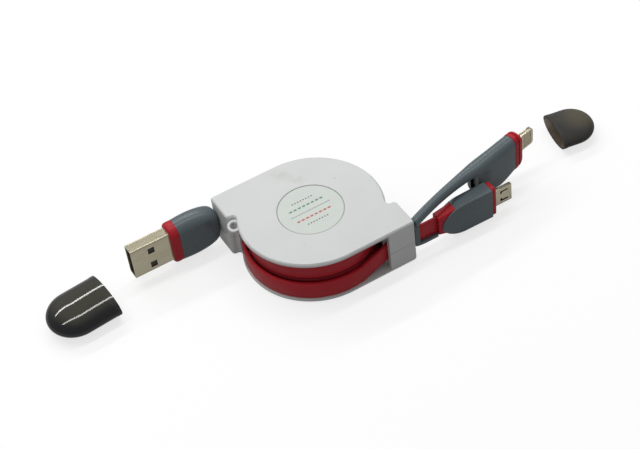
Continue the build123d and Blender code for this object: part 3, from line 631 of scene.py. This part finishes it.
# Painted shade: the shell's inner faces take a near-black nickel, so the latch slots and the inside read
# dark.
painted_shade_nickel = mottled("painted_shade_nickel", SHADED_NICKEL, SHADED_NICKEL_PALE, clouds=300.0,
                      roughness=(0.45, 0.14), patches=700.0, Metallic=0.6)
small_shell.data.materials.append(painted_shade_nickel)
low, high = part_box("phone_shell")
shell_middle = (low + high) / 2
for face in small_shell.data.polygons:
    inwards = shell_middle - face.center
    inwards.x = 0.0
    if abs(face.normal.x) < ENDWAYS and face.normal.dot(inwards) > 0:
        face.material_index = 1

tongue_black = mottled("tongue_black", BLACK, BLACK_PALE, clouds=200.0, roughness=(0.40, 0.14),
                       patches=400.0, IOR=1.5)
paint(tongue_black, "phone_insert")
paint(contact_gold, "phone_contacts")

# Strap and adapter: one soft grey moulding. The strap leaves its collar at a shallow slope, widens
# and levels out into the adapter's upper edge.
STRAP_YAW = radians(12.5)
STRAP_RUN = 26.2
STRAP_START = -1.0
STRAP_STEPS = 14
STRAP_FOOT_IN = 1.45 * MM
STRAP_FOOT_HIGH = 16.05
STRAP_ABOVE_TIP = 5.9
STRAP_CURVE = 2.6
STRAP_DEPTH = 11.8
STRAP_DEPTH_LOST = 6.8
STRAP_WIDTH = 2.8
STRAP_FLARE = 2.3
STRAP_THICK = 2.5
STRAP_ROUNDING = 0.45 * MM
ROOM_INTO_ADAPTER = 0.05
ROOM_PAST_STRAP = 2.0
ROOM_WIDTH = 16.0
MERGE_CUT = 0.01 * MM
MOULDING_CORNER = 2.3
ADAPTER_SECTIONS = ((17.7, 6.1, 8.1, 5.4), (17.0, 6.1, 8.2, 5.5), (15.2, 6.1, 8.9, 5.6),
                    (13.0, 6.07, 9.7, 5.6), (10.5, 6.03, 10.2, 5.6), (8.0, 6.0, 9.9, 5.6),
                    (5.0, 5.95, 8.8, 5.6), (2.5, 5.93, 7.3, 5.45))
low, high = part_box("blade_tip")
adapter_middle = (low[2] + high[2]) / 2 / MM
foot_low, foot_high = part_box("strap_collar")
strap_along = Vector((cos(STRAP_YAW), sin(STRAP_YAW), 0.0))
strap_root = Vector((foot_low[0] + STRAP_FOOT_IN, (foot_low[1] + foot_high[1]) / 2, 0.0))
strap_top = adapter_middle + STRAP_ABOVE_TIP


def about_tip(sections):
    """The adapter's sections, given as (distance from its rear, height above and under the middle of
    its tip, width) in millimetres, placed for lofting along the strap."""
    return [(STRAP_RUN + x, adapter_middle - under, adapter_middle + above, width)
            for x, above, under, width in sections]


def strap_point(left):
    """How far along and how high the strap's upper edge is, from the adapter at 0 to its foot at 1."""
    x = STRAP_RUN - (STRAP_RUN - STRAP_START) * left
    return x, strap_top - (strap_top - STRAP_FOOT_HIGH) * left ** STRAP_CURVE


moulding_sections = about_tip(ADAPTER_SECTIONS)
room_sections = [(STRAP_RUN + ROOM_INTO_ADAPTER, 0.0, strap_top - STRAP_THICK, ROOM_WIDTH)]
for k in range(STRAP_STEPS + 1):
    left = k / STRAP_STEPS
    x, top = strap_point(left)
    width = STRAP_WIDTH + STRAP_FLARE * (1 - left) ** 3
    moulding_sections.append((x, top - STRAP_DEPTH + STRAP_DEPTH_LOST * left, top, width))
    x, top = strap_point((k + 0.5) / STRAP_STEPS)
    room_sections.append((x, 0.0, top - STRAP_THICK, ROOM_WIDTH))
x, low, high, width = room_sections[-1]
room_sections.append((x - ROOM_PAST_STRAP, low, high, width))
moulding = lofted("strap_and_adapter", MOULDING_CORNER, moulding_sections, strap_root, STRAP_YAW)
cut_away(moulding, lofted("room", 0, room_sections, strap_root, STRAP_YAW))
pick(moulding)
bpy.ops.object.mode_set(mode="EDIT")
bpy.ops.mesh.select_mode(type="EDGE")
bpy.ops.mesh.select_all(action="SELECT")
bpy.ops.mesh.remove_doubles(threshold=MERGE_CUT)
bpy.ops.mesh.select_all(action="DESELECT")
bpy.ops.mesh.edges_select_sharp(sharpness=SHARP_ANGLE)
bpy.ops.mesh.bevel(offset=STRAP_ROUNDING, segments=ROUND_SEGMENTS, clamp_overlap=True)
bpy.ops.mesh.select_all(action="SELECT")
bpy.ops.mesh.remove_doubles(threshold=MERGE_CUT)
bpy.ops.mesh.dissolve_degenerate(threshold=MERGE_CUT)
bpy.ops.object.mode_set(mode="OBJECT")
cut_pocket(moulding, "adapter_socket", STRAP_YAW)
cut_pocket(moulding, "blade_tip", STRAP_YAW)
pick(moulding)
bpy.ops.object.shade_smooth_by_angle(angle=SMOOTH_ANGLE)
coat(moulding.data, soft_grey)
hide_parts("adapter_strap", "adapter_body")
strap_end = strap_root + STRAP_RUN * MM * strap_along
strap_end.z = strap_top * MM
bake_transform(moulding)

# Adapter fittings: a socket for the phone plug in the rear face, a grooved red collar with a rounded
# nose, and a flat metal tip with eight pale contact pads in a shallow window on each side.
BLADE_ROUNDING = 0.30 * MM
WINDOW_MARGIN = 0.35 * MM
SOCKET_DARK = (0.060, 0.060, 0.062, 1.0)
SOCKET_PALE = (0.090, 0.090, 0.092, 1.0)
PAD_DULL = (0.62, 0.56, 0.40, 1.0)
PAD = (0.70, 0.64, 0.48, 1.0)
RING_CORNER = 2.4
RING_SECTIONS = ((17.7, 6.25, 8.2, 5.6), (18.9, 6.2, 8.0, 5.7), (19.1, 5.8, 7.6, 5.1),
                 (19.5, 5.8, 7.5, 5.1), (19.7, 6.15, 7.7, 5.7), (20.3, 6.0, 7.2, 5.6),
                 (20.8, 5.7, 6.5, 5.3), (21.2, 5.2, 5.7, 4.8), (21.4, 4.5, 4.8, 4.2))
socket_metal = mottled("socket_metal", SOCKET_DARK, SOCKET_PALE, clouds=300.0, roughness=(0.34, 0.14),
                       patches=700.0, Metallic=1.0)
paint(socket_metal, "adapter_socket")
paint(tongue_black, "socket_tongue")

adapter_ring = lofted("adapter_ring", RING_CORNER, about_tip(RING_SECTIONS), strap_root, STRAP_YAW)
cut_pocket(adapter_ring, "blade_tip", STRAP_YAW)
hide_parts("adapter_collar")
finish_piece(adapter_ring, collar_red, "adapter")
pads_low, pads_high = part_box("blade_contacts")


def clear_of_window(point):
    """True away from the contact windows, whose edges stay crisp."""
    beside = point.z < pads_low[2] - WINDOW_MARGIN or point.z > pads_high[2] + WINDOW_MARGIN
    return beside or point.x > pads_high[0] + WINDOW_MARGIN


blade = softened("blade", "blade_tip", BLADE_ROUNDING, clear_of_window)
finish_piece(blade, shell_nickel, "adapter")
pad_plating = mottled("pad_plating", PAD_DULL, PAD, clouds=500.0, roughness=(0.28, 0.12), patches=900.0,
                      Metallic=0.7)
paint(pad_plating, "blade_contacts")

# Caps: thin domed covers of smoked translucent plastic, moulded in one, taken off and lying in line
# with their plugs. The host plug's is polished and the adapter's is frosted.
CAP_WALL = 0.75 * MM
CAP_RIM = 1.5 * MM
CAP_RIM_STEP = 0.05 * MM
CAP_SMOOTH_ANGLE = radians(30)
CLOUD_HEIGHT = 1.5 * MM
EDGE_BLEND = 0.35
GLOSS_DARK = (0.009, 0.010, 0.013, 1.0)
GLOSS_PALE = (0.058, 0.056, 0.042, 1.0)
INSIDE_DARK = (0.130, 0.098, 0.062, 1.0)
INSIDE_PALE = (0.780, 0.710, 0.560, 1.0)
FROST_DARK = (0.056, 0.057, 0.055, 1.0)
FROST_PALE = (0.150, 0.128, 0.092, 1.0)
HOST_CAP_SIZE = (21.4 * MM, 19.0 * MM, 8.4 * MM)
HOST_CAP_PLACE = (-66.9 * MM, 18.2 * MM, 0.0)
HOST_CAP_TURN = radians(185)
TIP_CAP_SIZE = (14.2 * MM, 16.0 * MM, 7.6 * MM)
TIP_CAP_PLACE = (91.46 * MM, -5.33 * MM, 0.0)
TIP_CAP_TURN = radians(-10)


def smoked_plastic(name, dark, pale, lit_band, see_through, roughness, shine, lean=0.0):
    """Smoked plastic that lets some light through, with painted light: paler up a band of heights in
    millimetres.
    """
    material, place = new_material(name, IOR=1.5, Specular_IOR_Level=shine)
    height = place.part("Z") + lean * place.part("X") + CLOUD_HEIGHT * place.noise(90.0)
    height.fade(lit_band[0] * MM, lit_band[1] * MM).mix(dark, pale).feed("Base Color")
    (roughness + 0.04 * place.noise(250.0)).feed("Roughness")
    edge_on = place.node("ShaderNodeLayerWeight", {}, {"Blend": EDGE_BLEND}, out="Facing")
    ((1.0 - see_through) + see_through * edge_on).feed("Alpha")
    return material


def cap(name, size, location, turn, outside, inside):
    """Half a flattened ball drawn out along X to a slightly stepped rim, then given its wall."""
    length, width, height = size
    straight = length - width / 2
    flare = 1 + 2 * CAP_RIM_STEP / height
    bpy.ops.object.select_all(action="DESELECT")
    bpy.ops.mesh.primitive_uv_sphere_add(segments=72, ring_count=36, radius=0.5, rotation=(0, pi / 2, 0))
    piece = bpy.context.object
    piece.name = name
    piece.scale = (height, width, width)
    bpy.ops.object.transform_apply(location=False, rotation=True, scale=True)
    bpy.ops.object.mode_set(mode="EDIT")
    bpy.ops.mesh.select_all(action="SELECT")
    bpy.ops.mesh.bisect(plane_co=(0, 0, 0), plane_no=(1, 0, 0), clear_inner=True, clear_outer=False)
    bpy.ops.mesh.select_all(action="DESELECT")
    bpy.ops.mesh.select_mode(type="EDGE")
    bpy.ops.mesh.select_non_manifold()
    for step, scale in ((CAP_RIM - straight, 1.0), (-2 * CAP_RIM_STEP, flare),
                        (2 * CAP_RIM_STEP - CAP_RIM, 1.0)):
        bpy.ops.mesh.extrude_edges_move(TRANSFORM_OT_translate={"value": (step, 0, 0)})
        bpy.ops.transform.resize(value=(1, scale, scale), center_override=(0, 0, 0))
    bpy.ops.mesh.select_all(action="SELECT")
    bpy.ops.mesh.normals_make_consistent(inside=False)
    bpy.ops.object.mode_set(mode="OBJECT")
    wall = piece.modifiers.new("wall", "SOLIDIFY")
    wall.thickness = CAP_WALL
    wall.offset = -1.0
    wall.material_offset = 1
    piece.data.materials.append(outside)
    piece.data.materials.append(inside)
    bpy.ops.object.modifier_apply(modifier=wall.name)
    bpy.ops.transform.translate(value=(straight, 0, height / 2))
    piece.rotation_euler = (0, 0, turn)
    piece.location = Matrix.Rotation(turn, 4, "Z") @ piece.location + Vector(location)
    bpy.ops.object.transform_apply(location=True, rotation=True, scale=True)
    bpy.ops.object.shade_smooth_by_angle(angle=CAP_SMOOTH_ANGLE)
    return piece


# Painted light: the polished cap is paler along its crown, as if lit from above, and dark low down.
smoked_gloss = smoked_plastic("smoked_gloss", GLOSS_DARK, GLOSS_PALE, lit_band=(6.9, 8.9),
                              see_through=0.06, roughness=0.03, shine=0.5)
# Painted light: the caps' inside is paler higher up, as if lit through the wall.
smoked_inside = smoked_plastic("smoked_inside", INSIDE_DARK, INSIDE_PALE, lit_band=(1.6, 5.4),
                               see_through=0.10, roughness=0.40, shine=0.05)
# Painted light: the frosted cap is paler towards its top and nose, darker at its lower front.
smoked_frost = smoked_plastic("smoked_frost", FROST_DARK, FROST_PALE, lit_band=(33.0, 36.2),
                              see_through=0.20, roughness=0.36, shine=0.05, lean=0.27)
host_cover = cap("host_cover", HOST_CAP_SIZE, HOST_CAP_PLACE, HOST_CAP_TURN, smoked_gloss, smoked_inside)
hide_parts("host_cap")
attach(host_cover, "host_end")
tip_cover = cap("tip_cover", TIP_CAP_SIZE, TIP_CAP_PLACE, TIP_CAP_TURN, smoked_frost, smoked_inside)
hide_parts("tip_cap")
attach(tip_cover, "phone_end")

# Stage: a plain white floor that keeps a soft shadow and gives back little light, a long lamp
# overhead and one behind, dim light all round, and a camera at the photograph's viewing angle.
FLOOR_SIZE = 6.0
FLOOR_DROP = 0.05 * MM
FLOOR_GLOW = 0.72
FLOOR_PALE = (0.34, 0.34, 0.34, 1.0)
FLOOR_DIM = (0.27, 0.27, 0.27, 1.0)
GLOSSY_SHARE = 0.45
FULL_WHITE = (1.0, 1.0, 1.0, 1.0)
WORLD_STRENGTH = 0.35
LAMP_LENGTH = 1.2
LAMP_WIDTH = 0.06
LAMPS = (("top_lamp", 0.17, 0.8, 0.0, 2.80), ("back_lamp", 0.80, 0.78, radians(-46), 3.7))
VIEW_FROM = (-0.15542, -0.33967, 0.40115)
AZIMUTH = radians(-24.94)
ELEVATION = radians(46.29)
ROLL = radians(8.05)
bpy.ops.object.select_all(action="DESELECT")
bpy.ops.mesh.primitive_plane_add(size=FLOOR_SIZE, location=(0, 0, cad_box[0][2] - FLOOR_DROP))
floor = bpy.context.object
floor.name = "floor"
floor_paint, place = new_material("floor_paint")
seen = place.node("ShaderNodeLightPath", {}, {}, out="Is Camera Ray")
seen = seen + GLOSSY_SHARE * place.node("ShaderNodeLightPath", {}, {}, out="Is Glossy Ray")
seen = seen + place.node("ShaderNodeLightPath", {}, {}, out="Is Transmission Ray")
glow = place.node("ShaderNodeEmission", {}, {"Color": FULL_WHITE, "Strength": FLOOR_GLOW})
pale = place.node("ShaderNodeBsdfDiffuse", {}, {"Color": FLOOR_PALE})
dim = place.node("ShaderNodeBsdfDiffuse", {}, {"Color": FLOOR_DIM})
white = place.node("ShaderNodeAddShader", {}, {0: glow, 1: pale})
both = place.node("ShaderNodeMixShader", {}, {0: seen.maths("MINIMUM", seen, 1.0), 1: dim, 2: white})
both.tree.links.new(both.socket, both.tree.nodes["Material Output"].inputs["Surface"])
floor.data.materials.append(floor_paint)

world = bpy.data.worlds.new("studio")
bpy.context.scene.world = world
world.use_nodes = True
world.node_tree.nodes["Background"].inputs["Color"].default_value = FULL_WHITE
world.node_tree.nodes["Background"].inputs["Strength"].default_value = WORLD_STRENGTH

for name, back, high, tilt, energy in LAMPS:
    bpy.ops.object.light_add(type="AREA", location=(0.0, back, high), rotation=(tilt, 0, 0))
    lamp = bpy.context.object
    lamp.name = name
    lamp.data.shape = "RECTANGLE"
    lamp.data.size = LAMP_LENGTH
    lamp.data.size_y = LAMP_WIDTH
    lamp.data.energy = energy

bpy.ops.object.camera_add(location=VIEW_FROM, rotation=(pi / 2 - ELEVATION, 0, AZIMUTH))
camera = bpy.context.object
bpy.context.view_layer.update()
camera.matrix_world = camera.matrix_world @ Matrix.Rotation(-ROLL, 4, "Z")
camera.data.lens = 94.36
camera.data.sensor_width = 36.0
camera.data.clip_start = 0.01
bpy.context.scene.camera = camera
